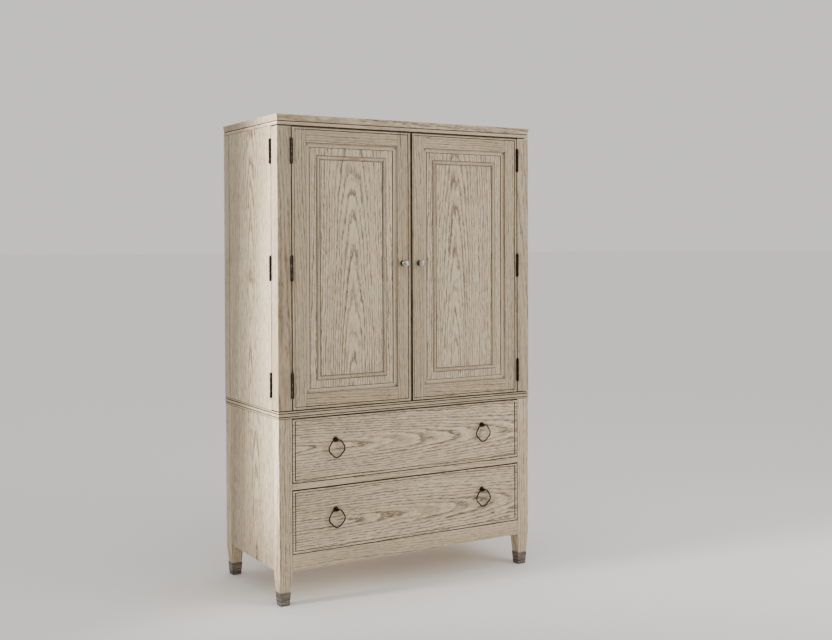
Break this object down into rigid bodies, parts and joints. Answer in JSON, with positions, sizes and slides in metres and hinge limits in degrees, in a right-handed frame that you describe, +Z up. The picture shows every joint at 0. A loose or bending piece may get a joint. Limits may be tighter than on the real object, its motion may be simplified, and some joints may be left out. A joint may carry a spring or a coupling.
{
  "type": "door chest",
  "caption": "Tall free-standing chest: a cupboard with doors hung on swinging corner posts over full-width drawers with ring pulls, on tapered legs with metal ferrules.",
  "frame": {"origin": "floor level, in the middle of the whole bounding box", "axes": "+Z up, the doors and drawers face -Y, +X to the right seen from the front"},
  "size_m": [1.1282, 0.5486, 1.778],
  "materials": {
    "brushed_oak": "wire-brushed oak, greige stain with dark glaze",
    "inner_wood": "plain clear-lacquered hardwood and plywood",
    "dark_bronze": "dark antiqued bronze",
    "pewter": "dark brushed pewter",
    "slide_steel": "bright zinc-plated steel",
    "catch_plastic": "dark brown moulded plastic"
  },
  "bodies": {
    "case": {"crown_top": "brushed_oak", "crown_moulding": "brushed_oak", "upper_side_left": "brushed_oak", "upper_side_right": "brushed_oak", "upper_rear_posts": "brushed_oak", "upper_floor": "inner_wood", "upper_ceiling": "inner_wood", "upper_back_panel": "inner_wood", "shelves": "inner_wood", "shelf_cleats": "inner_wood", "door_catches": "catch_plastic", "case_hinge_leaves": "dark_bronze", "waist_moulding": "brushed_oak", "lower_top": "inner_wood", "leg_front_left": "brushed_oak", "leg_front_right": "brushed_oak", "leg_rear_left": "brushed_oak", "leg_rear_right": "brushed_oak", "ferrules": "pewter", "lower_back_panel": "inner_wood", "lower_side_left": "brushed_oak", "lower_side_right": "brushed_oak", "divider_rail": "brushed_oak", "apron_rail": "brushed_oak", "bottom_panel": "inner_wood", "slide_case_members": "slide_steel"},
    "left_post": {"left_corner_post": "brushed_oak", "left_post_hinge_leaves": "dark_bronze"},
    "left_door": {"left_door_stiles": "brushed_oak", "left_door_rails": "brushed_oak", "left_door_panel": "brushed_oak", "left_door_mouldings": "brushed_oak", "left_door_fittings": "pewter", "left_door_hinge_leaves": "dark_bronze"},
    "right_post": {"right_corner_post": "brushed_oak", "right_post_hinge_leaves": "dark_bronze"},
    "right_door": {"right_door_stiles": "brushed_oak", "right_door_rails": "brushed_oak", "right_door_panel": "brushed_oak", "right_door_mouldings": "brushed_oak", "right_door_fittings": "pewter", "right_door_hinge_leaves": "dark_bronze"},
    "upper_drawer": {"upper_drawer_front": "brushed_oak", "upper_drawer_box": "inner_wood", "upper_drawer_bottom": "inner_wood", "upper_drawer_slide_members": "slide_steel", "upper_drawer_pull_posts": "dark_bronze"},
    "upper_carriages": {"upper_drawer_slide_carriages": "slide_steel"},
    "upper_ring_left": {"upper_drawer_ring_left": "dark_bronze"},
    "upper_ring_right": {"upper_drawer_ring_right": "dark_bronze"},
    "lower_drawer": {"lower_drawer_front": "brushed_oak", "lower_drawer_box": "inner_wood", "lower_drawer_bottom": "inner_wood", "lower_drawer_slide_members": "slide_steel", "lower_drawer_pull_posts": "dark_bronze"},
    "lower_carriages": {"lower_drawer_slide_carriages": "slide_steel"},
    "lower_ring_left": {"lower_drawer_ring_left": "dark_bronze"},
    "lower_ring_right": {"lower_drawer_ring_right": "dark_bronze"}
  },
  "joints": [
    {"name": "left_post_swing", "type": "hinge", "parent": "case", "child": "left_post", "pos_m": [-0.5602, -0.18745, 1.2225], "axis": [0, 0, -1], "range_deg": [0, 90]},
    {"name": "right_post_swing", "type": "hinge", "parent": "case", "child": "right_post", "pos_m": [0.5602, -0.18745, 1.2225], "axis": [0, 0, 1], "range_deg": [0, 90]},
    {"name": "left_door_swing", "type": "hinge", "parent": "left_post", "child": "left_door", "pos_m": [-0.4997, -0.24845, 1.2225], "axis": [0, 0, -1], "range_deg": [0, 180]},
    {"name": "right_door_swing", "type": "hinge", "parent": "right_post", "child": "right_door", "pos_m": [0.4997, -0.24845, 1.2225], "axis": [0, 0, 1], "range_deg": [0, 180]},
    {"name": "upper_drawer_slide", "type": "slide", "parent": "case", "child": "upper_drawer", "axis": [0, -1, 0], "range_m": [0, 0.4]},
    {"name": "upper_carriage_slide", "type": "slide", "parent": "case", "child": "upper_carriages", "axis": [0, -1, 0], "range_m": [0, 0.2]},
    {"name": "lower_drawer_slide", "type": "slide", "parent": "case", "child": "lower_drawer", "axis": [0, -1, 0], "range_m": [0, 0.4]},
    {"name": "lower_carriage_slide", "type": "slide", "parent": "case", "child": "lower_carriages", "axis": [0, -1, 0], "range_m": [0, 0.2]},
    {"name": "upper_ring_left_lift", "type": "hinge", "parent": "upper_drawer", "child": "upper_ring_left", "pos_m": [-0.32565, -0.25375, 0.58815], "axis": [-1, 0, 0], "range_deg": [0, 95]},
    {"name": "upper_ring_right_lift", "type": "hinge", "parent": "upper_drawer", "child": "upper_ring_right", "pos_m": [0.32565, -0.25375, 0.58815], "axis": [-1, 0, 0], "range_deg": [0, 95]},
    {"name": "lower_ring_left_lift", "type": "hinge", "parent": "lower_drawer", "child": "lower_ring_left", "pos_m": [-0.32565, -0.25375, 0.3295], "axis": [-1, 0, 0], "range_deg": [0, 95]},
    {"name": "lower_ring_right_lift", "type": "hinge", "parent": "lower_drawer", "child": "lower_ring_right", "pos_m": [0.32565, -0.25375, 0.3295], "axis": [-1, 0, 0], "range_deg": [0, 95]}
  ],
  "couplings": [
    {"joint": "upper_carriage_slide", "follows": "upper_drawer_slide", "ratio": 0.5},
    {"joint": "lower_carriage_slide", "follows": "lower_drawer_slide", "ratio": 0.5}
  ]
}
